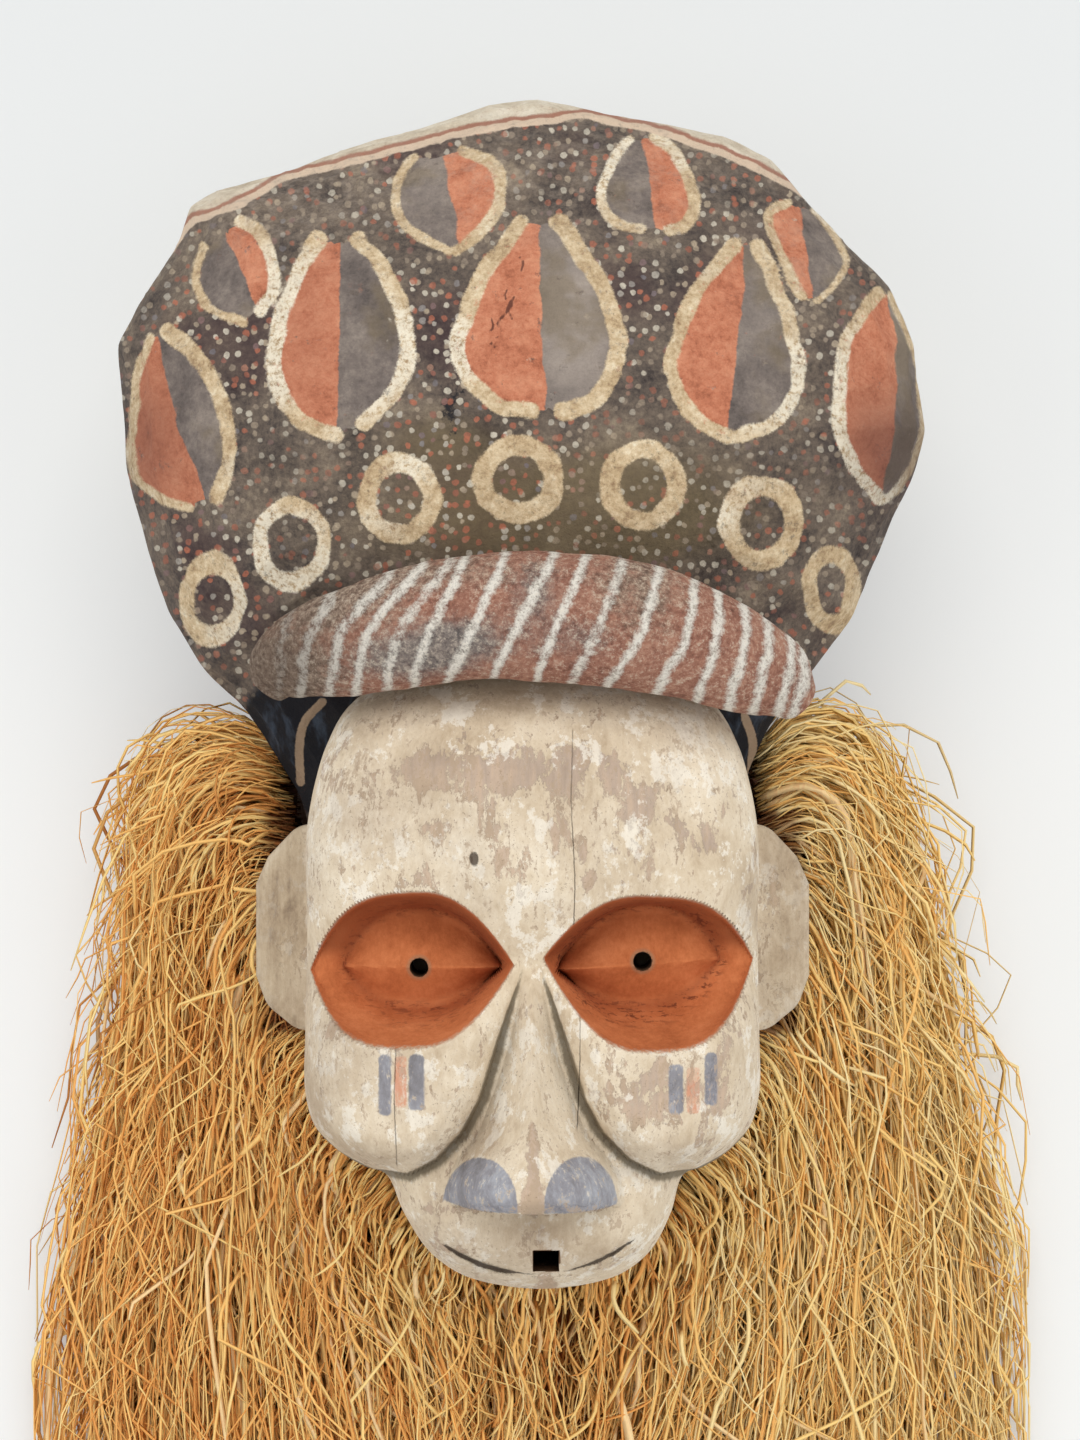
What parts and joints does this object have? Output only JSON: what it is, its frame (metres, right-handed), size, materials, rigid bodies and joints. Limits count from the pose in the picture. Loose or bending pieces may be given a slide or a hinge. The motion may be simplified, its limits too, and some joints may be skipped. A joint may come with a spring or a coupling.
{
  "type": "yaka mask",
  "caption": "Yaka mask lying on its back: whitened wooden face with orange sockets, painted faceted cloth cap, striped stuffed brow roll and raffia hanks",
  "frame": {"origin": "bottom centre of the bounding box: the middle of the footprint, on the surface that the mask lies on", "axes": "+X to the viewer's right of the mask, +Y towards the crown, +Z the way the face looks"},
  "size_m": [0.4022, 0.7308, 0.222],
  "materials": {
    "painted_wood": "matt white clay paint, worn and chipped to bare wood",
    "cap_cloth": "stiffened coarse cloth with matt painted patterns",
    "roll_cloth": "stuffed coarse cloth with slanting white painted stripes",
    "raffia": "dry natural raffia strands"
  },
  "bodies": {
    "root": {"face": "painted_wood", "headdress": "cap_cloth", "brow_roll": "roll_cloth", "raffia_temple_left": "raffia", "raffia_cheek_left": "raffia", "raffia_chin": "raffia", "raffia_cheek_right": "raffia", "raffia_temple_right": "raffia"}
  },
  "joints": []
}
